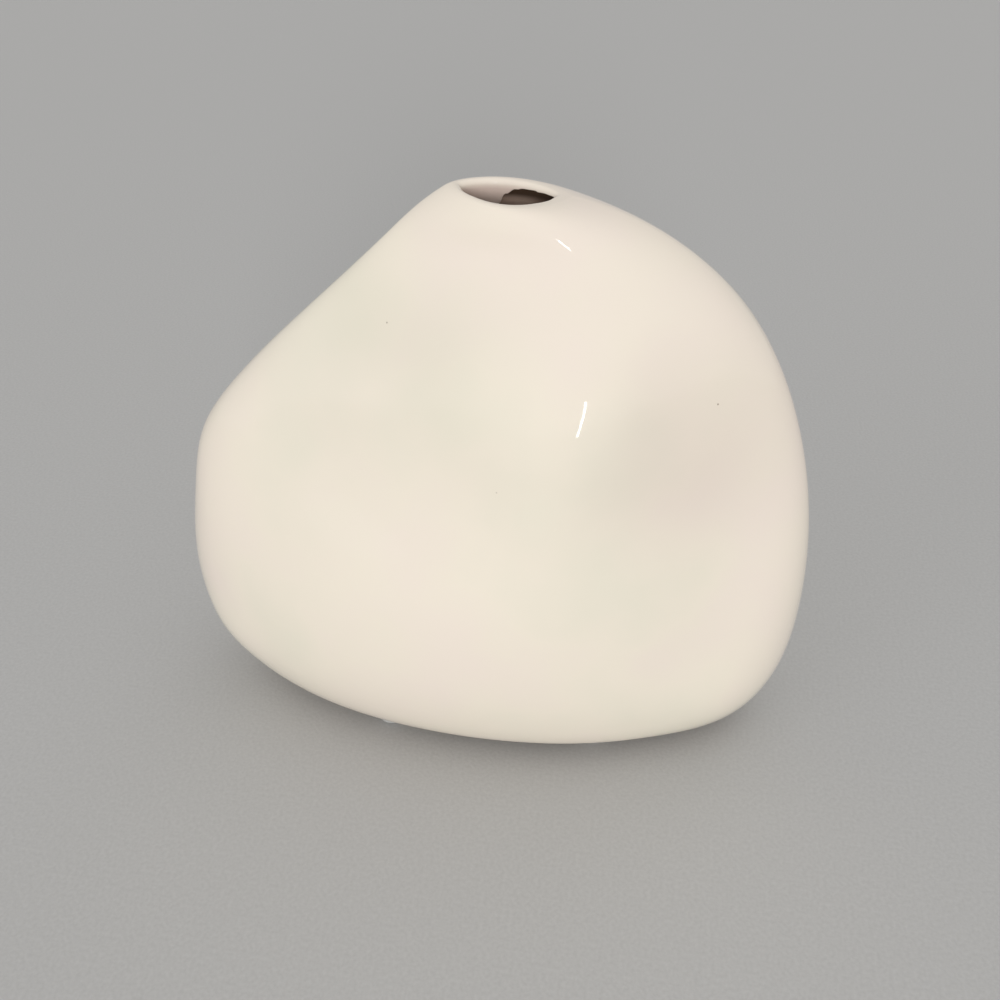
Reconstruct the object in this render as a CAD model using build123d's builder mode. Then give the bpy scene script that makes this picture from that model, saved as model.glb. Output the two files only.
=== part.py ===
from build123d import *
import math
import os

# Pillow vase: a hollow slip-cast body with a flat foot and a small almond mouth, pressed out of round while soft.
# White glaze covers it outside, goes over the lip and runs a little way into the mouth.
# The foot and the inside stay bare clay. It stands on four clear stick-on bumpers.
# Millimetres, +Z up, origin on the table under the middle of the vase, front towards -Y.

# Body, as pressed, before the mouth is cut
body_width = 250.0
body_depth = 112.0
body_height = 221.7
wall = 4.5
floor_thickness = 6.0
foot_rounding = 5.0
hollow_rounding = 8.0
press_depth = 5.0

# Mouth: an almond hole whose corners lie on the body's middle plane
mouth_width = 30.5
mouth_front = 9.3
mouth_back = 5.3
mouth_offset = 7.0
mouth_cut = 2.2
mouth_fall_degrees = 3.4
mouth_lean_degrees = 6.8
lip = 3.6
right_lip = 5.2
lip_rounding = 1.65

# Glaze: thickness, bare height above the foot, and how far it runs into the mouth on the left and on the right
glaze = 0.45
bare_foot = 5.5
long_run = 7.5
short_run = 2.0

# Stick-on bumpers: a dome below a short upright side, worn flat where it rests
bumper_diameter = 12.7
bumper_height = 4.2
bumper_side = 1.6
bumper_contact = 4.0
adhesive_diameter = 9.0
adhesive_thickness = 0.3

# How far a cutting tool or an open end runs past what it cuts
overrun = 1.5

# Outlines of the four sides: reach from the middle plane, and height above the foot
left_shares = [
    (0.765, 0.0),
    (0.94, 0.1),
    (1.0, 0.26),
    (0.96, 0.42),
    (0.9, 0.54),
    (0.8, 0.62),
    (0.48, 0.8),
    (0.265, 0.915),
    (0.166, 0.967),
]
right_shares = [(0.85, 0.0), (0.96, 0.1), (1.0, 0.26), (0.97, 0.46), (0.87, 0.66), (0.71, 0.82), (0.45, 0.94)]
front_shares = [(0.72, 0.0), (0.91, 0.1), (1.0, 0.28), (0.88, 0.5), (0.62, 0.75)]
back_shares = [(0.7, 0.0), (0.92, 0.1), (1.0, 0.28), (0.88, 0.5), (0.67, 0.75)]

# Presses of the thumb and palm, seen from the front: middle across and up, reach across and up, turn in degrees,
# depth, and how flat the floor of the press is. A depth below zero is a swelling between presses.
front_press_shares = [
    (-0.48, 0.83, 0.72, 0.11, 15, 2.15, 3.0),  # palm across the left slope of the neck
    (-0.67, 0.58, 0.86, 0.16, 71, 1.4, 2.0),  # the same palm, down along the left edge
    (-0.87, 0.58, 0.54, 0.15, -10, 1.6, 3.0),  # heel of the hand on the left flank
    (-0.2, 0.6, 0.4, 0.15, -24, 0.9, 3.0),  # hollow band above the belly
    (0.78, 0.55, 0.38, 0.4, -28, 1.6, 3.0),  # wide dish on the right
    (0.8, 0.38, 0.24, 0.4, -6, 1.75, 2.0),  # the same dish, down along the right edge
    (0.52, 0.73, 0.11, 0.11, 0, 0.35, 3.0),  # top of the dish, right of the ridge
    (-0.18, 0.8, 0.14, 0.09, 27, 0.35, 3.0),  # fingertip left of the ridge
    (0.8, 0.1, 0.2, 0.1, 0, -0.8, 2.0),  # swelling at the right end of the foot
    (-0.92, 0.14, 0.16, 0.08, 0, -1.0, 2.0),  # swelling at the left end of the foot
    (0.25, 0.66, 0.47, 0.09, -5, -0.85, 2.0),  # swelling above the hollow band
    (-0.07, 0.82, 0.25, 0.14, -67, -1.0, 2.0),  # left foot of the ridge
    (0.38, 0.74, 0.16, 0.07, -3, -0.65, 2.0),  # ridge from the mouth, where it meets the dish
    (0.2, 0.54, 0.1, 0.07, 31, -0.35, 2.0),  # fold where the ridge ends
]
back_press_shares = [
    (-0.3, 0.76, 0.4, 0.15, 20, 0.8, 2.4),
    (0.7, 0.66, 0.35, 0.243, -8, 1.2, 2.8),
]

# The presses fade out from this height to the rim, which stays round
press_end_share = 0.9

# The plan of the body is an ellipse, and grows pointed towards the mouth from this height on
pointed_from_share = 0.85
pointed_power = 1.5

# Edge of the glaze inside the mouth: place from the left corner to the right one, and share of the long run
run_shares = [(-0.2, 1.0), (0.2, 0.97), (0.42, 0.85), (0.54, 0.35), (0.66, 0.0), (0.84, 0.1), (1.0, 0.0), (1.2, 0.05)]

# Middle of each bumper, from the middle of the vase
bumper_shares = {
    "front_left": (-0.3, -0.52),
    "front_right": (0.38, -0.44),
    "rear_left": (-0.31, 0.49),
    "rear_right": (0.37, 0.5),
}

# The slices lean from level to the slope of the rim, from this height on
lean_from_share = 0.7

# How finely the form is drawn: slices crowd together towards the mouth
slice_count = 22
slice_points = 56
rounding_steps = 4
crowding_power = 1.5
search_steps = 30

# Worked out from the sizes above
half_width = body_width / 2
half_depth = body_depth / 2
stand = bumper_height + adhesive_thickness
rim_level = body_height - mouth_cut
hollow_top = rim_level - 2 * wall
throat_bottom = hollow_top - wall - overrun
mouth_left = mouth_offset - mouth_width / 2
mouth_right = mouth_offset + mouth_width / 2


def slopes(level):
    """Slope of the slice at a level, down to the right and up to the back"""
    share = (level / rim_level - lean_from_share) / (1 - lean_from_share)
    share = max(share, 0) ** 2
    fall = math.tan(math.radians(mouth_fall_degrees)) * share
    lean = math.tan(math.radians(mouth_lean_degrees)) * share
    return fall, lean


def slice_plane(level):
    """Plane of the slice at a level, which is its height above the foot at the middle of the mouth"""
    fall, lean = slopes(level)
    return Plane(origin=(mouth_offset, 0, stand + level), x_dir=(1, 0, -fall), z_dir=(fall, -lean, 1))


def outline(shares, half_size, rim_reach, rim_slope, from_middle):
    """A side of the body from the foot to the rim, which runs on in a straight line above the rim"""
    points = [(reach * half_size, height * body_height) for reach, height in shares]
    rim_height = rim_level + rim_slope * (rim_reach - from_middle)
    with BuildLine() as side:
        curve = Spline(*points, (rim_reach, rim_height))
        Line(curve @ 1, curve @ 1 + (curve % 1) * 2 * wall)
    return side.wire()


rim_fall, rim_lean = slopes(rim_level)
left_outline = outline(left_shares, half_width, lip - mouth_left, rim_fall, -mouth_offset)
right_outline = outline(right_shares, half_width, mouth_right + right_lip, -rim_fall, mouth_offset)
front_outline = outline(front_shares, half_depth, mouth_front + lip, -rim_lean, 0)
back_outline = outline(back_shares, half_depth, mouth_back + lip, rim_lean, 0)


def reach_at(side, level, slope, from_middle, inset):
    """How far a side reaches at a sloping slice, drawn in by inset square to its own slope"""
    low = 0.0
    high = 1.0
    for step in range(search_steps):
        middle = (low + high) / 2
        point = side @ middle
        if point.Y < level + slope * (point.X - from_middle):
            low = middle
        else:
            high = middle
    return (side @ middle).X - inset / abs((side % middle).Y)


def press(shares, x, height):
    """How far the presses of one side push the wall in at a place, less and less towards the rim"""
    room = (rim_level - height) / (rim_level - press_end_share * body_height)
    fade = math.sin(math.pi / 2 * max(min(room, 1), 0)) ** 2
    depth = 0.0
    for across, up, reach_across, reach_up, turn, share, flatness in shares:
        right = x - across * half_width
        above = height - up * body_height
        cosine = math.cos(math.radians(turn))
        sine = math.sin(math.radians(turn))
        along = (right * cosine + above * sine) / (reach_across * half_width)
        over = (above * cosine - right * sine) / (reach_up * body_height)
        depth += share * press_depth * math.exp(-(math.hypot(along, over) ** flatness))
    return depth * fade


def closed_curve(points):
    """Smooth closed curve through points, numbered alike on every slice so that the slices match"""
    return Edge.make_spline(points, periodic=True, parameters=[float(k) for k in range(len(points) + 1)])


def plan_power(level):
    """How pointed the plan is at a level"""
    share = (level / body_height - pointed_from_share) / (1 - pointed_from_share)
    return 1 + (pointed_power - 1) * max(share, 0)


def slice_outline(level, inset, drawn_in):
    """Points round the body at a level, from the middle of the mouth, with the front and the back pressed in"""
    fall, lean = slopes(level)
    left = -reach_at(left_outline, level, fall, -mouth_offset, inset) + drawn_in
    right = reach_at(right_outline, level, -fall, mouth_offset, inset) - drawn_in
    front = reach_at(front_outline, level, -lean, 0, inset) - drawn_in
    back = reach_at(back_outline, level, lean, 0, inset) - drawn_in
    points = []
    for k in range(slice_points):
        angle = 2 * math.pi * k / slice_points
        x = (left + right) / 2 + (right - left) / 2 * math.cos(angle)
        bulge = abs(math.sin(angle)) ** plan_power(level)
        if math.sin(angle) < 0:
            y = -bulge * (front - press(front_press_shares, x, level))
        else:
            y = bulge * (back - press(back_press_shares, x, level))
        points.append((x - mouth_offset, y))
    return points


def pressed_form(inset, low, high, low_rounding, high_rounding):
    """The solid form between two levels, drawn in by inset, its lower and upper edges rounded"""
    slices = []
    for k in range(rounding_steps):
        angle = math.pi / 2 * k / rounding_steps
        slices.append((low + low_rounding * (1 - math.cos(angle)), low_rounding * (1 - math.sin(angle))))
    for k in range(slice_count + 1):
        climb = 1 - (1 - k / slice_count) ** crowding_power
        slices.append((low + low_rounding + (high - high_rounding - low - low_rounding) * climb, 0))
    for k in range(1, rounding_steps + 1):
        angle = math.pi / 2 * k / rounding_steps
        slices.append((high - high_rounding * (1 - math.sin(angle)), high_rounding * (1 - math.cos(angle))))
    with BuildPart() as form:
        for level, drawn_in in slices:
            with BuildSketch(slice_plane(level)):
                with BuildLine():
                    add(closed_curve(slice_outline(level, inset, drawn_in)))
                make_face()
        loft()
    return form.part


def almond(clearance):
    """Points round the mouth's hole, larger by a clearance all round"""
    points = []
    for k in range(slice_points):
        angle = 2 * math.pi * k / slice_points
        bulge = abs(math.sin(angle)) ** plan_power(rim_level)
        if math.sin(angle) < 0:
            y = -bulge * (mouth_front + clearance)
        else:
            y = bulge * (mouth_back + clearance)
        points.append(((mouth_width / 2 + clearance) * math.cos(angle), y))
    return points


def throat(clearance, rim, rounding):
    """The mouth's hole, larger by a clearance, straight up from the hollow and rounded outwards at a rim's level"""
    mouth_plane = slice_plane(rim_level)
    with BuildPart() as hole:
        with BuildSketch(mouth_plane.offset(rim - rounding - rim_level)):
            with BuildLine():
                add(closed_curve(almond(clearance)))
            make_face()
        extrude(amount=throat_bottom - rim + rounding)
        for k in range(rounding_steps + 2):
            angle = math.pi / 2 * min(k / rounding_steps, 1)
            level = rim - rounding * (1 - math.sin(angle)) + overrun * max(k - rounding_steps, 0)
            with BuildSketch(mouth_plane.offset(level - rim_level)):
                with BuildLine():
                    add(closed_curve(almond(clearance + rounding * (1 - math.cos(angle)))))
                make_face()
        loft()
    return hole.part


# Fired clay body: a glaze's thickness inside the finished form, with its lip rounded alike
clay_rim = rim_level - glaze
clay_rounding = lip_rounding - glaze
with BuildPart() as hollow:
    add(pressed_form(glaze + wall, floor_thickness, hollow_top, hollow_rounding, wall))
with BuildPart() as clay_body:
    add(pressed_form(glaze, 0, clay_rim, foot_rounding, clay_rounding))
    add(hollow.part, mode=Mode.SUBTRACT)
    add(throat(glaze, clay_rim, clay_rounding), mode=Mode.SUBTRACT)
clay_body.part.label = "clay_body"

# Space inside the clay that the glaze leaves bare: all of the hollow, and the throat below the glaze's uneven edge
run_points = []
for place, run in run_shares:
    x = mouth_left + place * mouth_width
    depth = short_run + run * (long_run - short_run)
    run_points.append((x, stand + rim_level - rim_fall * (x - mouth_offset) - depth))
with BuildPart() as bare_inside:
    with BuildSketch(Plane.XZ):
        with BuildLine():
            edge = Spline(*run_points)
            Polyline(edge @ 1, ((edge @ 1).X, throat_bottom), ((edge @ 0).X, throat_bottom), edge @ 0)
        make_face()
    extrude(amount=half_depth, dir=slice_plane(rim_level).y_dir, both=True)
    add(throat(glaze, clay_rim, clay_rounding), mode=Mode.INTERSECT)
    add(hollow.part)

# White glaze, over the outside and the lip
with BuildPart() as glaze_coat:
    add(pressed_form(0, 0, rim_level, foot_rounding, lip_rounding))
    add(throat(0, rim_level, lip_rounding), mode=Mode.SUBTRACT)
    add(clay_body.part, mode=Mode.SUBTRACT)
    add(bare_inside.part, mode=Mode.SUBTRACT)
    split(bisect_by=Plane.XY.offset(stand + bare_foot), keep=Keep.TOP)
glaze_coat.part.label = "glaze_coat"

os.makedirs("parts", exist_ok=True)
export_step(clay_body.part, "parts/clay_body.step")
export_step(glaze_coat.part, "parts/glaze_coat.step")

# Bumpers: a clear dome, round side down, on its adhesive disc
radius = bumper_diameter / 2
dome_height = bumper_height - bumper_side
for name, (across, along) in bumper_shares.items():
    x = across * half_width
    y = along * half_depth
    with BuildPart() as bumper:
        with BuildSketch(Plane(origin=(x, y, 0), x_dir=(1, 0, 0), z_dir=(0, -1, 0))):
            with BuildLine():
                worn = Line((0, 0), (bumper_contact / 2, 0))
                dome = TangentArc(worn @ 1, (radius, dome_height), tangent=worn % 1)
                Polyline(dome @ 1, (radius, bumper_height), (0, bumper_height), worn @ 0)
            make_face()
        revolve(axis=Axis((x, y, 0), (0, 0, 1)))
    bumper.part.label = f"{name}_bumper"
    export_step(bumper.part, f"parts/{name}_bumper.step")
    with BuildPart() as adhesive:
        with BuildSketch(Plane((x, y, bumper_height))):
            Circle(adhesive_diameter / 2)
        extrude(amount=adhesive_thickness)
    adhesive.part.label = f"{name}_adhesive"
    export_step(adhesive.part, f"parts/{name}_adhesive.step")
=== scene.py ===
# %% [markdown]
# # A pillow vase in white glaze
# The object is a slip-cast ceramic vase, pressed out of round by hand while the clay was soft. Its
# clay body, its foot and its stick-on bumpers come from the construction model, which gives every
# place and size in metres. This lesson dresses that model: a smooth glaze coat in clean quads, a
# bare foot, clear bumpers, and finishes for each.

import math

import bpy
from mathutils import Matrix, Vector


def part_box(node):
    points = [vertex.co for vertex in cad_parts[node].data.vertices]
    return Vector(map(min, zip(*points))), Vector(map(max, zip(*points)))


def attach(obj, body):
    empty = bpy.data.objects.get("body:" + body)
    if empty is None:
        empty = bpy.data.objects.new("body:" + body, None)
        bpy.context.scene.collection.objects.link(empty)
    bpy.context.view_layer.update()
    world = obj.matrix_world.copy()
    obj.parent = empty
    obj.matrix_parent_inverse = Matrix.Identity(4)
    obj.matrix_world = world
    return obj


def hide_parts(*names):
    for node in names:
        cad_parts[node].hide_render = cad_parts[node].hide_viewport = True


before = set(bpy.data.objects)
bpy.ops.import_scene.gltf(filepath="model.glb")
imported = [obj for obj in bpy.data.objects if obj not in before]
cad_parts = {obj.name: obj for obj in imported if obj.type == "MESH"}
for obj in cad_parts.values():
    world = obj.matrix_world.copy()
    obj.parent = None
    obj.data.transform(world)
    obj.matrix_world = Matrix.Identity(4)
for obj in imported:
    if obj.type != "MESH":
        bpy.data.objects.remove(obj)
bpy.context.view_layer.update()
print("CAD nodes:", sorted(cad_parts))

# %% [markdown]
# ## The view
# The photograph looks down on the vase from the front, a little from its right. A camera can be
# turned by hand until the outline fits, but here its place was worked out from the vase's own size,
# so it is set from three numbers: the angle down, the angle round, and the distance from a point
# inside the vase.

# %% Camera
LOOK_AT = Vector((0.0045, 0.0, 0.1003))
CAMERA_DISTANCE = 0.391
CAMERA_DOWN = math.radians(37)
CAMERA_ROUND = math.radians(9)
LENS_MM = 36  # the sensor is as wide as the lens is long

camera_data = bpy.data.cameras.new("photo_view")
camera_data.lens = LENS_MM
camera_data.sensor_width = LENS_MM
camera = bpy.data.objects.new("photo_view", camera_data)
back = Vector(
    (
        math.sin(CAMERA_ROUND) * math.cos(CAMERA_DOWN),
        -math.cos(CAMERA_ROUND) * math.cos(CAMERA_DOWN),
        math.sin(CAMERA_DOWN),
    )
)
camera.location = LOOK_AT + back * CAMERA_DISTANCE
camera.rotation_euler = back.to_track_quat("Z", "Y").to_euler()
bpy.context.scene.collection.objects.link(camera)
bpy.context.scene.camera = camera
print("camera at", [round(c, 4) for c in camera.location])

# %% [markdown]
# ## Small helpers
# Operators act on whatever is selected, and the loaded nodes start out selected. So every step
# begins with nothing selected, and picks its faces and edges by place. These helpers do just that.


# %% Selection helpers
def select_only(piece):
    """Leaves edit mode, drops every selection, and makes one piece the selected and active one"""
    if bpy.context.object and bpy.context.object.mode != "OBJECT":
        bpy.ops.object.mode_set(mode="OBJECT")
    bpy.ops.object.select_all(action="DESELECT")
    piece.select_set(True)
    bpy.context.view_layer.objects.active = piece


def apply_all(piece):
    """Applies the piece's modifiers from the top of the stack down"""
    select_only(piece)
    for modifier in list(piece.modifiers):
        bpy.ops.object.modifier_apply(modifier=modifier.name)


def new_piece(name):
    """Names the primitive that was just added"""
    piece = bpy.context.object
    piece.name = name
    piece.data.name = name
    return piece


def triangles(piece):
    """How many triangles a piece has"""
    return sum(len(face.vertices) - 2 for face in piece.data.polygons)


print("helpers ready")

# %% [markdown]
# ## A template for the glaze
# The construction model has the right shape, but its mesh is loose triangles, and a gloss shows
# every one of them. So the clay body serves as a template: a copy is merged into one surface, and a
# clean mesh of quads is laid over it, a glaze's thickness away, as a sculptor's retopology is.

# %% Template of the clay
MM = 0.001
SAME_PLACE = 0.002 * MM  # corners that are closer than this are one


def template(node):
    """A merged copy of a CAD node, to pull new meshes onto"""
    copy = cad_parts[node].copy()
    copy.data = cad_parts[node].data.copy()
    copy.name = node + "_template"
    copy.parent = None
    bpy.context.scene.collection.objects.link(copy)
    select_only(copy)
    bpy.ops.object.mode_set(mode="EDIT")
    bpy.ops.mesh.select_all(action="SELECT")
    bpy.ops.mesh.remove_doubles(threshold=SAME_PLACE)
    bpy.ops.object.mode_set(mode="OBJECT")
    return copy


clay_template = template("clay_body")
print("clay template:", triangles(clay_template), "triangles")

# %% [markdown]
# ## The glaze coat
# One skin covers the outside, rolls over the lip and runs a little way into the mouth. It could be
# a sphere with a hole, but then the quads would bunch and twist at the lip. Here it grows as a pot
# does on a wheel: one ring at the foot, extruded upwards ring by ring, wider and narrower, over the
# lip and down into the mouth. Each ring is an oval that stands just off the body, and is given by
# its height and its reach to the left, right, front and back.

# %% Rings of the glaze, in millimetres: height, left, right, front, back
GLAZE_RINGS = [
    (7, 103, 112, 46, 45),
    (12, 112, 119, 51, 50),
    (22, 120, 124, 57, 55),
    (40, 126, 127, 62, 59),
    (62, 128, 128, 64, 60),
    (84, 127, 127, 63, 59),
    (106, 122, 124, 61, 56),
    (126, 114, 120, 58, 53),
    (144, 102, 115, 54, 50),
    (162, 84, 108, 49, 46),
    (178, 67, 98, 43, 41),
    (192, 53, 87, 37, 35),
    (204, 41, 74, 31, 29),
    (212, 32, 62, 25, 24),
    (218, 23, 47, 20, 18),
]
LIP_RINGS = [
    (222.8, 13.2, 31.0, 14.6, 10.6),
    (225.0, 11.8, 27.8, 13.0, 9.0),
    (226.0, 10.3, 25.5, 11.4, 7.4),
    (224.6, 8.8, 23.0, 9.9, 5.9),
    (222.6, 8.2, 22.2, 9.2, 5.3),
    (220.0, 8.3, 22.1, 8.9, 5.4),
    (212.5, 8.5, 21.9, 8.5, 5.9),
]
ALL_RINGS = GLAZE_RINGS + LIP_RINGS
print("rings:", len(GLAZE_RINGS), "outside and", len(LIP_RINGS), "over the lip")

# %% [markdown]
# The quads between those rings would be tall strips. So more rings are put evenly between them,
# closer at the lip than on the wide belly, until the quads are about as tall as they are wide. The
# strips could also be divided once the tube has grown, but the dividing tool numbers its new
# corners anew on every run, and the coat would come out a little different each time.

# %% Rings in between
RING_POINTS = 120
BODY_QUAD = 4.4  # millimetres, a quad's height before it is subdivided
LIP_QUAD = 0.9


def front_left(ring):
    """Height, left and front of a ring, enough to tell how tall the band above it is"""
    height, left, _, front, _ = ring
    return height, left, front


def evenly_between(low_ring, high_ring, steps):
    """Rings at even steps from one ring towards the next, which is left out"""
    return [
        [low + (high - low) * step / steps for low, high in zip(low_ring, high_ring)]
        for step in range(steps)
    ]


fine_rings = []
for band, (low_ring, high_ring) in enumerate(zip(ALL_RINGS, ALL_RINGS[1:])):
    rise = math.dist(front_left(low_ring), front_left(high_ring))
    quad = BODY_QUAD if band < len(GLAZE_RINGS) else LIP_QUAD
    fine_rings += evenly_between(low_ring, high_ring, 1 + max(1, round(rise / quad)))
fine_rings.append(ALL_RINGS[-1])
print("rings in all:", len(fine_rings))


# %% Grow the coat ring by ring
def oval(ring):
    """Middle and half sizes of a ring, in metres"""
    height, left, right, front, rear = ring
    middle = Vector(((right - left) / 2, (rear - front) / 2, height)) * MM
    return middle, (left + right) / 2 * MM, (front + rear) / 2 * MM


def grow(name, rings, points=RING_POINTS):
    """A tube of quads through rings, from the first to the last"""
    middle, half_width, half_depth = oval(rings[0])
    bpy.ops.object.select_all(action="DESELECT")
    bpy.ops.mesh.primitive_circle_add(
        vertices=points, radius=1, fill_type="NOTHING", location=middle
    )
    piece = new_piece(name)
    piece.scale = (half_width, half_depth, 1)
    bpy.ops.object.transform_apply(location=True, rotation=True, scale=True)
    bpy.ops.object.mode_set(mode="EDIT")
    bpy.ops.mesh.select_all(action="SELECT")
    for ring in rings[1:]:
        next_middle, next_width, next_depth = oval(ring)
        bpy.ops.mesh.extrude_region_move(TRANSFORM_OT_translate={"value": next_middle - middle})
        bpy.ops.transform.resize(
            value=(next_width / half_width, next_depth / half_depth, 1),
            center_override=next_middle,
        )
        middle, half_width, half_depth = next_middle, next_width, next_depth
    bpy.ops.object.mode_set(mode="OBJECT")
    outwards = sum(
        1 if face.normal.xy.dot(face.center.xy) > 0 else -1 for face in piece.data.polygons
    )
    if outwards < 0:
        bpy.ops.object.mode_set(mode="EDIT")
        bpy.ops.mesh.select_all(action="SELECT")
        bpy.ops.mesh.flip_normals()
        bpy.ops.object.mode_set(mode="OBJECT")
    print(name, "faces pointed outwards:", outwards > 0)
    return piece


glaze = grow("glaze", fine_rings)
print("glaze quads:", len(glaze.data.polygons))

# %% [markdown]
# The tube still stands off the body. Shrinkwrap pulls every point to the nearest place a glaze's
# thickness above the clay. A little smoothing then evens the quads out, a second pull puts them
# back, and one subdivision rounds them.

# %% Pull the coat onto the clay
GLAZE_THICKNESS = 0.45 * MM
SMOOTHINGS = (6, 1)  # after the first and the second pull


def pull_onto(piece, target, gap):
    """Pulls a piece to a gap above a template, and evens out its quads after each pull"""
    for repeats in SMOOTHINGS:
        wrap = piece.modifiers.new("onto_template", "SHRINKWRAP")
        wrap.target = target
        wrap.wrap_method = "NEAREST_SURFACEPOINT"
        wrap.wrap_mode = "ABOVE_SURFACE"
        wrap.offset = gap
        even = piece.modifiers.new("even_out", "SMOOTH")
        even.factor = 0.5
        even.iterations = repeats
    apply_all(piece)


pull_onto(glaze, clay_template, GLAZE_THICKNESS)
finer = glaze.modifiers.new("finer", "SUBSURF")
finer.levels = 1
finer.render_levels = 1
apply_all(glaze)
print("glaze quads on the clay:", len(glaze.data.polygons))

# %% [markdown]
# The tube was grown a little too long at both ends. The potter wipes the foot clean, so the coat
# ends level all round there, which is one cut of a plane. In the mouth the glaze ran in unevenly
# while it was poured: deep on the left, and barely over the lip on the right. There the small faces
# under a wandering line are deleted, and the edge is smoothed.

# %% Cut the foot level
FOOT_EDGE = 10 * MM
select_only(glaze)
bpy.ops.object.mode_set(mode="EDIT")
bpy.ops.mesh.select_mode(type="FACE")
bpy.ops.mesh.select_all(action="SELECT")
bpy.ops.mesh.bisect(plane_co=(0, 0, FOOT_EDGE), plane_no=(0, 0, 1), clear_inner=True)
bpy.ops.mesh.select_all(action="DESELECT")
bpy.ops.object.mode_set(mode="OBJECT")
print("foot cut, faces left:", len(glaze.data.polygons))

# %% Trim the mouth along a wandering line, in millimetres: place from left to right, height
MOUTH_EDGE = [
    (-20, 213.4),
    (1.2, 213.4),
    (3.2, 216.4),
    (5.6, 219.8),
    (9.0, 221.7),
    (12.0, 222.0),
    (17.4, 221.7),
    (22.3, 221.5),
    (40, 220),
]
MOUTH_MIDDLE = (0.007, -0.002)
THROAT_REACH = 17 * MM
FACES_INWARDS = 0.3  # 1 is a face that looks straight at the middle, 0 one that looks past it


def mouth_edge(x):
    """Height of the glaze's edge inside the mouth, in metres"""
    for (left, low), (right, high) in zip(MOUTH_EDGE, MOUTH_EDGE[1:]):
        if x <= right * MM:
            share = (x / MM - left) / (right - left)
            return (low + (high - low) * share * share * (3 - 2 * share)) * MM
    return MOUTH_EDGE[-1][1] * MM


def in_throat(face):
    """Tells a face inside the mouth from one on the outside of the neck"""
    inwards = Vector((*MOUTH_MIDDLE, face.center.z)) - face.center
    faces_in = face.normal.dot(inwards) > FACES_INWARDS * inwards.length
    return inwards.length < THROAT_REACH and faces_in


removed = 0
for face in glaze.data.polygons:
    if in_throat(face) and face.center.z < mouth_edge(face.center.x):
        face.select = True
        removed += 1
bpy.ops.object.mode_set(mode="EDIT")
bpy.ops.mesh.delete(type="FACE")
print("faces removed in the mouth:", removed)

# %% Smooth the edge in the mouth, and leave the one at the foot
FAR_FROM_FOOT = 50 * MM
EDGE_SMOOTHINGS = 8
bpy.ops.mesh.select_mode(type="EDGE")
bpy.ops.mesh.select_non_manifold()
bpy.ops.object.mode_set(mode="OBJECT")
for edge in glaze.data.edges:
    if max(glaze.data.vertices[v].co.z for v in edge.vertices) < FAR_FROM_FOOT:
        edge.select = False
for vertex in glaze.data.vertices:
    if vertex.co.z < FAR_FROM_FOOT:
        vertex.select = False
bpy.ops.object.mode_set(mode="EDIT")
bpy.ops.mesh.vertices_smooth(factor=0.5, repeat=EDGE_SMOOTHINGS)
bpy.ops.object.mode_set(mode="OBJECT")
print("edge smoothed:", EDGE_SMOOTHINGS, "times")

# %% [markdown]
# A glaze is a layer, so the surface needs a back. Solidify grows one inwards by the glaze's
# thickness and closes both edges, so the coat sits on the clay and its edge shows in the mouth and
# at the foot. A second shell could be made by hand, but it would have to be stitched to the first.
# The coat then takes the place of the plain one in the model.

# %% Thickness
bpy.data.objects.remove(clay_template)
wall = glaze.modifiers.new("glaze_thickness", "SOLIDIFY")
wall.thickness = GLAZE_THICKNESS
wall.offset = -1
apply_all(glaze)
select_only(glaze)
bpy.ops.object.shade_smooth()
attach(glaze, "root")
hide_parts("glaze_coat")
print("glaze:", triangles(glaze), "triangles")

# %% [markdown]
# ## The bumpers
# Four clear domes with a flat back are stuck under the foot. They could be spun from a profile, but
# the ring tool that made the glaze does it too: small round rings from the worn flat, out over the
# dome and up the side. One bumper is made, closed at both ends and rounded at its back edge, and
# the others are copies, each with a mesh of its own.

# %% One bumper, in millimetres: height and radius of its rings
BUMPER_RINGS = [
    (0, 2.0),
    (0.16, 3.25),
    (0.61, 4.4),
    (1.3, 5.35),
    (1.95, 6.0),
    (2.6, 6.35),
    (3.9, 6.35),
    (4.2, 6.1),
]
BUMPER_POINTS = 48
SHARPEST_SMOOTH = math.radians(35)  # edges that turn more than this stay crisp

round_rings = [(height, size, size, size, size) for height, size in BUMPER_RINGS]
bumper = grow("bumper", round_rings, BUMPER_POINTS)
select_only(bumper)
bpy.ops.object.mode_set(mode="EDIT")
bpy.ops.mesh.select_mode(type="EDGE")
bpy.ops.mesh.select_all(action="DESELECT")
bpy.ops.mesh.select_non_manifold()
bpy.ops.mesh.edge_face_add()
bpy.ops.mesh.select_all(action="SELECT")
bpy.ops.mesh.normals_make_consistent(inside=False)
bpy.ops.object.mode_set(mode="OBJECT")
bpy.ops.object.shade_smooth_by_angle(angle=SHARPEST_SMOOTH)
print("bumper:", triangles(bumper), "triangles")

# %% Four bumpers in their places
bumpers = []
for node in sorted(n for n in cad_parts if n.endswith("_bumper")):
    low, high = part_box(node)
    copy = bumper.copy()
    copy.data = bumper.data.copy()
    copy.name = node + "_dome"
    copy.data.name = copy.name
    bpy.context.scene.collection.objects.link(copy)
    select_only(copy)
    copy.location = ((low.x + high.x) / 2, (low.y + high.y) / 2, low.z)
    bpy.ops.object.transform_apply(location=True, rotation=True, scale=True)
    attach(copy, "root")
    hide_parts(node)
    bumpers.append(copy)
bpy.data.objects.remove(bumper)
print("bumpers:", [piece.name for piece in bumpers])

# %% [markdown]
# ## White glaze
# The real glaze is a warm white gloss, a little greenish in some places and a little pink in
# others, with a few pinholes. Such clouds could be painted on a picture that is wrapped round the
# vase, but noise needs no unwrapping. It reads Object coordinates, in metres, so it stays where it
# is on the vase from every side. First come the helpers.


# %% Node helpers
def material(name):
    """A new material, its node tree and its shader"""
    made = bpy.data.materials.new(name)
    made.use_nodes = True
    return made, made.node_tree, made.node_tree.nodes["Principled BSDF"]


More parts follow.
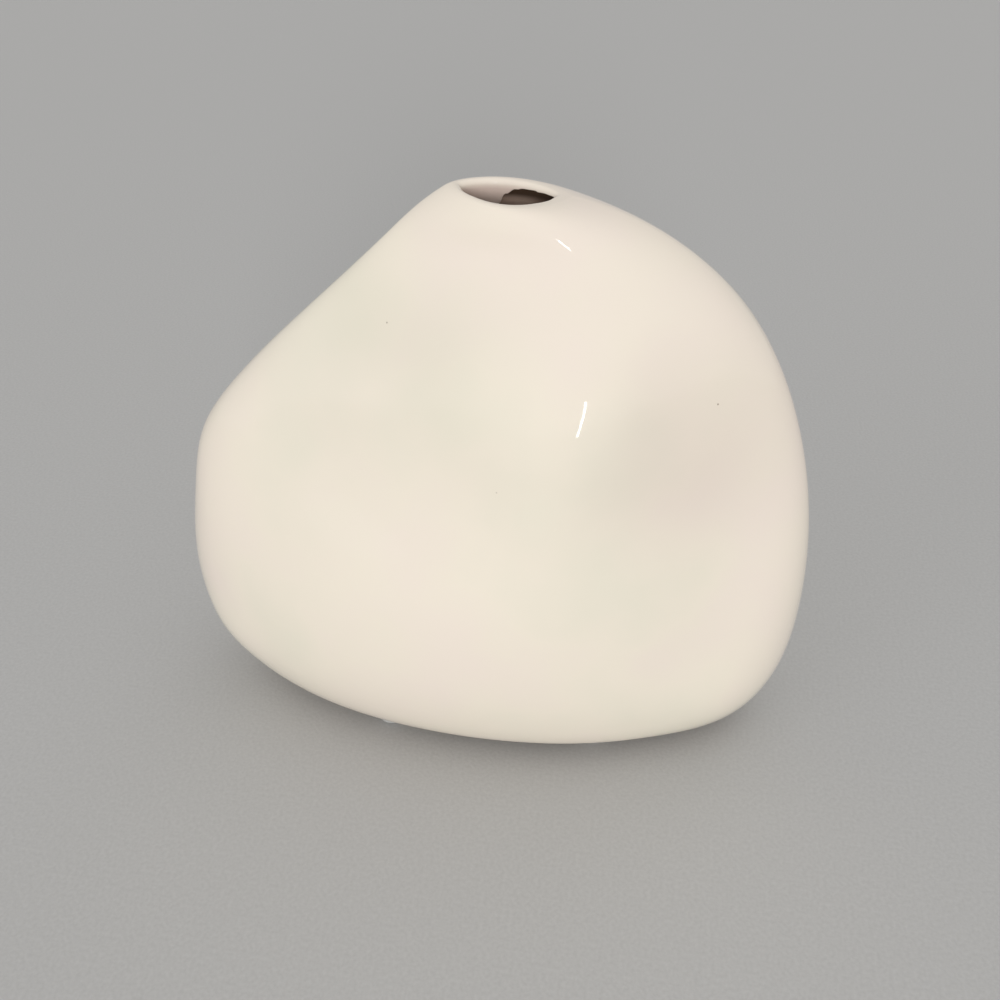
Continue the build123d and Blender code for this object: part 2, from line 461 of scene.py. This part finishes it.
def feed(tree, socket, value):
    """Links a socket's value to a socket, or sets it to a number or a colour"""
    if isinstance(value, bpy.types.NodeSocket):
        tree.links.new(value, socket)
    else:
        socket.default_value = value


def place_on_piece(tree):
    """The place that is being coloured, in metres"""
    return tree.nodes.new("ShaderNodeTexCoord").outputs["Object"]


def noise(tree, scale, detail, seed):
    """Soft noise from 0 to 1, scale in lumps per metre"""
    shift = tree.nodes.new("ShaderNodeMapping")
    shift.inputs["Location"].default_value = (seed, seed * 0.7, seed * 0.3)
    made = tree.nodes.new("ShaderNodeTexNoise")
    made.inputs["Scale"].default_value = scale
    made.inputs["Detail"].default_value = detail
    feed(tree, shift.inputs["Vector"], place_on_piece(tree))
    feed(tree, made.inputs["Vector"], shift.outputs["Vector"])
    return made.outputs["Fac"]


def grey(level):
    """A grey, from 0 for black to 1 for white"""
    return (level, level, level)


def ramp(tree, value, stops):
    """Colour ramp from a value, stops as (position, colour)"""
    made = tree.nodes.new("ShaderNodeValToRGB")
    for _ in range(len(stops) - 2):
        made.color_ramp.elements.new(0.5)
    for element, (position, colour) in zip(made.color_ramp.elements, stops):
        element.position = position
        element.color = (*colour, 1)
    feed(tree, made.inputs["Fac"], value)
    return made.outputs["Color"]


def blend(tree, kind, amount, first, second):
    """Mixes two colours, by a number or by the value of a socket"""
    made = tree.nodes.new("ShaderNodeMix")
    made.data_type = "RGBA"
    made.blend_type = kind
    for socket, value in ((0, amount), (6, first), (7, second)):
        feed(tree, made.inputs[socket], value)
    return made.outputs[2]


def number(tree, kind, first, second):
    """Sum, product or the like of two sockets or numbers"""
    made = tree.nodes.new("ShaderNodeMath")
    made.operation = kind
    for socket, value in zip(made.inputs, (first, second)):
        feed(tree, socket, value)
    return made.outputs["Value"]


def measure(tree, kind, place, other):
    """Distance or dot product of a place and another, fixed one"""
    made = tree.nodes.new("ShaderNodeVectorMath")
    made.operation = kind
    made.inputs[1].default_value = other
    feed(tree, made.inputs[0], place)
    return made.outputs["Value"]


def axes(tree, place):
    """The sockets X, Y and Z of a place"""
    made = tree.nodes.new("ShaderNodeSeparateXYZ")
    feed(tree, made.inputs["Vector"], place)
    return made.outputs


def fade(tree, value, empty, full, kind="LINEAR"):
    """0 where a value is at one number, 1 where it is at the other, and level past both"""
    made = tree.nodes.new("ShaderNodeMapRange")
    made.interpolation_type = kind
    made.inputs["From Min"].default_value = empty
    made.inputs["From Max"].default_value = full
    feed(tree, made.inputs["Value"], value)
    return made.outputs["Result"]


def near(tree, place, middle, full, end):
    """1 within one distance of a point, falling to 0 at another, in metres"""
    return fade(tree, measure(tree, "DISTANCE", place, middle), end, full, "SMOOTHSTEP")


def bump(tree, height, distance, strength, under=None):
    """Bump from a height, laid over another bump if one is given"""
    made = tree.nodes.new("ShaderNodeBump")
    made.inputs["Distance"].default_value = distance
    made.inputs["Strength"].default_value = strength
    feed(tree, made.inputs["Height"], height)
    if under:
        feed(tree, made.inputs["Normal"], under)
    return made.outputs["Normal"]


def dress(piece, made):
    """Gives a piece one material"""
    piece.data.materials.clear()
    piece.data.materials.append(made)


print("node helpers ready")

# %% [markdown]
# The colour is three tints of white, greenish, warm and pinkish, mixed by a soft noise.

# %% White glaze: tints
GLAZE_TINTS = [
    (0.32, (0.825, 0.77, 0.645)),
    (0.5, (0.86, 0.785, 0.665)),
    (0.68, (0.86, 0.765, 0.67)),
]

white_glaze, tree, shader = material("white_glaze")
place = place_on_piece(tree)
clouds = noise(tree, scale=16, detail=3, seed=1.3)
tint = ramp(tree, clouds, GLAZE_TINTS)
print("glaze tints ready")

# %% [markdown]
# Pinholes are where a bubble burst in the kiln. Most are scattered by a Voronoi pattern, of which
# only a few cells get one, and the two that catch the eye are put in place.

# %% White glaze: pinholes
CELLS_PER_METRE = 95
CELL_SPOT = [(0.02, grey(1)), (0.045, grey(0))]  # by distance from the middle of a cell
CELL_CHOICE = [(0.95, grey(0)), (0.97, grey(0.75))]  # by the cell's random number
PINHOLES = [(-0.0309, -0.0166, 0.1824), (0.0800, -0.0204, 0.1636)]
PINHOLE_REACH = 0.45 * MM
PINHOLE_CORE = 0.4 * PINHOLE_REACH
PINHOLE_STRENGTH = 0.65
PINHOLE_BROWN = (0.22, 0.15, 0.09, 1)

cells = tree.nodes.new("ShaderNodeTexVoronoi")
cells.inputs["Scale"].default_value = CELLS_PER_METRE
feed(tree, cells.inputs["Vector"], place)
cell_numbers = tree.nodes.new("ShaderNodeSeparateColor")
feed(tree, cell_numbers.inputs["Color"], cells.outputs["Color"])
spots = ramp(tree, cells.outputs["Distance"], CELL_SPOT)
chosen = ramp(tree, cell_numbers.outputs["Red"], CELL_CHOICE)
pinholes = blend(tree, "MULTIPLY", 1.0, spots, chosen)
for pinhole in PINHOLES:
    spot = near(tree, place, pinhole, PINHOLE_CORE, PINHOLE_REACH)
    faint_spot = number(tree, "MULTIPLY", spot, PINHOLE_STRENGTH)
    pinholes = number(tree, "MAXIMUM", pinholes, faint_spot)
speckled = blend(tree, "MIX", pinholes, tint, PINHOLE_BROWN)
print("pinholes ready, placed by hand:", len(PINHOLES))

# %% [markdown]
# The pressed dishes are painted a shade greyer, as painted shade where their sides turn away from
# the light. They could be darkened by the slope of the surface, but a soft patch round the middle
# of each dish is easier to place, and to see in the other views.

# %% White glaze: painted shade in the pressed dishes. Middle of the patch, its reach, its shade
DISH_PAINTED_SHADE = [
    ((0.074, -0.028, 0.147), 0.056, (0.93, 0.905, 0.92, 1)),
    ((-0.010, -0.032, 0.177), 0.040, (0.955, 0.965, 0.955, 1)),
    ((-0.040, -0.011, 0.184), 0.028, (0.96, 0.965, 0.955, 1)),
]

# Each patch is painted shade: a soft grey round the middle of a pressed dish.
shaded = speckled
for middle, reach, shade in DISH_PAINTED_SHADE:
    dish_shade_amount = near(tree, place, middle, 0, reach)
    shaded = blend(tree, "MULTIPLY", dish_shade_amount, shaded, shade)
print("pooled glaze ready, patches:", len(DISH_PAINTED_SHADE))

# %% [markdown]
# In the mouth, a little below the lip, the glaze is painted a pinkish grey as painted shade, where
# the lip shades the inside. The lip is a tilted oval, so the change follows its plane: the height
# along the slope of the lip says how far down a place is, and an ellipse round the middle of the
# mouth keeps the change off the outside of the neck.

# %% White glaze: painted shade a little below the lip, in the mouth
RIM_SLOPE = (0.059, -0.119, 1.0)
RIM_LEVEL = 224.4 * MM
MOUTH_SHADE_FROM = 1.2 * MM  # below the rim
MOUTH_SHADE_FULL = 3.0 * MM
MOUTH_REACH = (0.0155, 0.0078)
MOUTH_LIMIT = 1.1  # the ellipse of that reach is 1 all along its edge
# a pinkish grey painted as shade a little below the lip, inside the mouth
MOUTH_PAINTED_SHADE = (0.72, 0.585, 0.51, 1)

height_along_rim = measure(tree, "DOT_PRODUCT", place, RIM_SLOPE)
below_rim = fade(tree, height_along_rim, RIM_LEVEL - MOUTH_SHADE_FROM, RIM_LEVEL - MOUTH_SHADE_FULL)
squares = []
for axis, middle, reach in zip("XY", MOUTH_MIDDLE, MOUTH_REACH):
    offset = number(tree, "SUBTRACT", axes(tree, place)[axis], middle)
    share = number(tree, "DIVIDE", offset, reach)
    squares.append(number(tree, "MULTIPLY", share, share))
in_mouth = number(tree, "LESS_THAN", number(tree, "ADD", *squares), MOUTH_LIMIT)
painted_shade = number(tree, "MULTIPLY", in_mouth, below_rim)
feed(tree, shader.inputs["Base Color"], blend(tree, "MIX", painted_shade, shaded, MOUTH_PAINTED_SHADE))
print("thin glaze in the mouth ready")

# %% [markdown]
# A fired glaze is nearly as smooth as glass, but never flat: it was poured and ran, and faint waves
# are left that make its highlights wander, and each pinhole is a pit. The gloss itself is uneven
# too, so the roughness gets a noise of its own.

# %% White glaze: gloss and surface
GLOSS_RANGE = [(0.3, grey(0.035)), (0.7, grey(0.06))]

shader.inputs["IOR"].default_value = 1.52
sheen = noise(tree, scale=60, detail=2, seed=4.1)
feed(tree, shader.inputs["Roughness"], ramp(tree, sheen, GLOSS_RANGE))
waves = noise(tree, scale=45, detail=1, seed=2.2)
wavy = bump(tree, waves, distance=0.4 * MM, strength=0.35)
pitted = bump(tree, pinholes, distance=-0.2 * MM, strength=0.6, under=wavy)
feed(tree, shader.inputs["Normal"], pitted)
dress(glaze, white_glaze)
print("white glaze on", glaze.name)

# %% [markdown]
# ## Bare clay
# The foot was wiped clean before firing, and the inside was never glazed. Fired clay is matt and a
# little rough, pale buff outside and brown inside. Close under the glaze of the mouth it darkens to
# nearly black, a painted shadow of the glaze's overhanging edge. Two materials could be set face by
# face, but one that goes by height has no steps at the faces' edges.

# %% Bare clay
BUFF_TINTS = [(0.35, (0.52, 0.44, 0.35)), (0.65, (0.62, 0.54, 0.45))]
INSIDE_BROWN_TINTS = [(0.35, (0.24, 0.15, 0.105)), (0.65, (0.46, 0.34, 0.27))]
# a nearly black brown, painted as the shadow close under the glaze's edge in the mouth
SHADOW_UNDER_GLAZE_BROWN = (0.045, 0.025, 0.014, 1)
FOOT_LEVELS = (10.4 * MM, 10.8 * MM)  # buff below, brown above, hidden under the glaze's edge
SHADOW_UNDER_GLAZE_LEVELS = (217.5 * MM, 220.5 * MM)  # painted shadow begins, painted shadow at its darkest

bare_clay, tree, shader = material("bare_clay")
patches = noise(tree, scale=70, detail=3, seed=3.3)
buff = ramp(tree, patches, BUFF_TINTS)
inside_brown = ramp(tree, patches, INSIDE_BROWN_TINTS)
height = axes(tree, place_on_piece(tree))["Z"]
# The brown inside darkens to the painted shadow close under the glaze's edge.
inside_with_painted_shadow = blend(tree, "MIX", fade(tree, height, *SHADOW_UNDER_GLAZE_LEVELS, "SMOOTHSTEP"), inside_brown, SHADOW_UNDER_GLAZE_BROWN)
clay_colour = blend(tree, "MIX", fade(tree, height, *FOOT_LEVELS), buff, inside_with_painted_shadow)
feed(tree, shader.inputs["Base Color"], clay_colour)
shader.inputs["Roughness"].default_value = 0.85
grain = noise(tree, scale=900, detail=4, seed=0.4)
feed(tree, shader.inputs["Normal"], bump(tree, grain, distance=0.2 * MM, strength=0.5))
dress(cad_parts["clay_body"], bare_clay)
print("bare clay on clay_body")

# %% [markdown]
# ## Clear bumpers and their adhesive
# The bumpers are soft clear plastic that has gone a little milky. Clear plastic under a vase shows
# mostly the light that comes through its rim, so it is a transmitting shader with a low gloss, not
# a white paint.

# %% Milky plastic
MILKY_TINTS = [(0.3, (0.80, 0.80, 0.77)), (0.7, (0.9, 0.9, 0.88))]

milky_plastic, tree, shader = material("milky_plastic")
haze = noise(tree, scale=300, detail=2, seed=0.9)
feed(tree, shader.inputs["Base Color"], ramp(tree, haze, MILKY_TINTS))
shader.inputs["Roughness"].default_value = 0.12
shader.inputs["IOR"].default_value = 1.49
shader.inputs["Transmission Weight"].default_value = 0.45
feed(tree, shader.inputs["Normal"], bump(tree, haze, distance=0.1 * MM, strength=0.2))
for piece in bumpers:
    dress(piece, milky_plastic)
print("plastic on", len(bumpers), "bumpers")

# %% [markdown]
# The adhesive is a thin disc between each bumper and the clay, a dull film with fine fibres in it.
# It is hardly seen, so the construction model's own disc does, and only gets a finish.

# %% Adhesive film
FILM_TINTS = [(0.3, (0.62, 0.61, 0.57)), (0.7, (0.74, 0.73, 0.69))]

adhesive_film, tree, shader = material("adhesive_film")
fibres = noise(tree, scale=1500, detail=3, seed=0.2)
feed(tree, shader.inputs["Base Color"], ramp(tree, fibres, FILM_TINTS))
shader.inputs["Roughness"].default_value = 0.6
feed(tree, shader.inputs["Normal"], bump(tree, fibres, distance=0.05 * MM, strength=0.4))
discs = [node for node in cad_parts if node.endswith("_adhesive")]
for node in discs:
    dress(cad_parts[node], adhesive_film)
print("adhesive film on", len(discs), "discs")

# %% [markdown]
# ## Floor
# The vase stands on a plain pale sheet of paper, which catches its shadow. The sheet could be
# rolled up behind the vase, as photographers do, but one wide plane looks the same from every side.

# %% Floor
FLOOR_SIZE = 8
PAPER_TINTS = [(0.3, (0.5, 0.495, 0.485)), (0.7, (0.55, 0.545, 0.535))]

bpy.ops.object.select_all(action="DESELECT")
bpy.ops.mesh.primitive_plane_add(size=FLOOR_SIZE, location=(0, 0, 0))
floor = new_piece("floor")
pale_paper, tree, shader = material("pale_paper")
pulp = noise(tree, scale=700, detail=3, seed=0.6)
feed(tree, shader.inputs["Base Color"], ramp(tree, pulp, PAPER_TINTS))
shader.inputs["Roughness"].default_value = 0.9
feed(tree, shader.inputs["Normal"], bump(tree, pulp, distance=0.3 * MM, strength=0.3))
dress(floor, pale_paper)
print("floor ready")

# %% [markdown]
# ## Light
# Most of the light comes evenly from all round, as in a white tent, and a grey world does that in
# one step. Four wide, weak lights then model the form: from beside the camera, low on the left,
# above and behind. They could be area lamps, but these leave bright pools on the floor. Suns with a
# large angle are as strong everywhere, and they stay out of the gloss.

# %% Light from all round
STUDIO_GREY = (0.8, 0.8, 0.8, 1)
STUDIO_STRENGTH = 0.715

world = bpy.data.worlds.new("studio")
bpy.context.scene.world = world
world.use_nodes = True
backdrop = world.node_tree.nodes["Background"]
backdrop.inputs["Color"].default_value = STUDIO_GREY
backdrop.inputs["Strength"].default_value = STUDIO_STRENGTH
print("world ready")

# %% Soft lights: name, the side it comes from, width in degrees, strength
SOFT_LIGHTS = [
    ("key_light", (0.15, -0.78, 0.17), 18, 1.18),
    ("left_light", (-0.95, -0.85, 0.15), 38, 0.48),
    ("top_light", (0.15, 0.1, 0.65), 44, 0.18),
    ("back_light", (0.5, 0.9, 0.5), 40, 0.1),
]

for name, side, width, strength in SOFT_LIGHTS:
    soft_data = bpy.data.lights.new(name, "SUN")
    soft_data.angle = math.radians(width)
    soft_data.energy = strength
    soft_light = bpy.data.objects.new(name, soft_data)
    soft_light.rotation_euler = Vector(side).to_track_quat("Z", "Y").to_euler()
    soft_light.visible_glossy = False
    bpy.context.scene.collection.objects.link(soft_light)
print("soft lights ready:", len(SOFT_LIGHTS))

# %% [markdown]
# What shows in the gloss is one tall, narrow lamp, as a gap between curtains does in a room. The
# highlight could be painted on the glaze, but it would then stay put while the view moves round.
# Last, the Standard view shows each colour as it is written.

# %% Streak lamp
STREAK_PLACE = Vector((0.15, -0.78, 0.27))
STREAK_WIDTH = 0.012
STREAK_HEIGHT = 0.32
STREAK_POWER = 0.4

streak_data = bpy.data.lights.new("streak_lamp", "AREA")
streak_data.shape = "RECTANGLE"
streak_data.size = STREAK_WIDTH
streak_data.size_y = STREAK_HEIGHT
streak_data.energy = STREAK_POWER
streak = bpy.data.objects.new("streak_lamp", streak_data)
streak.location = STREAK_PLACE
streak.rotation_euler = (STREAK_PLACE - LOOK_AT).to_track_quat("Z", "Y").to_euler()
bpy.context.scene.collection.objects.link(streak)
bpy.context.scene.view_settings.view_transform = "Standard"
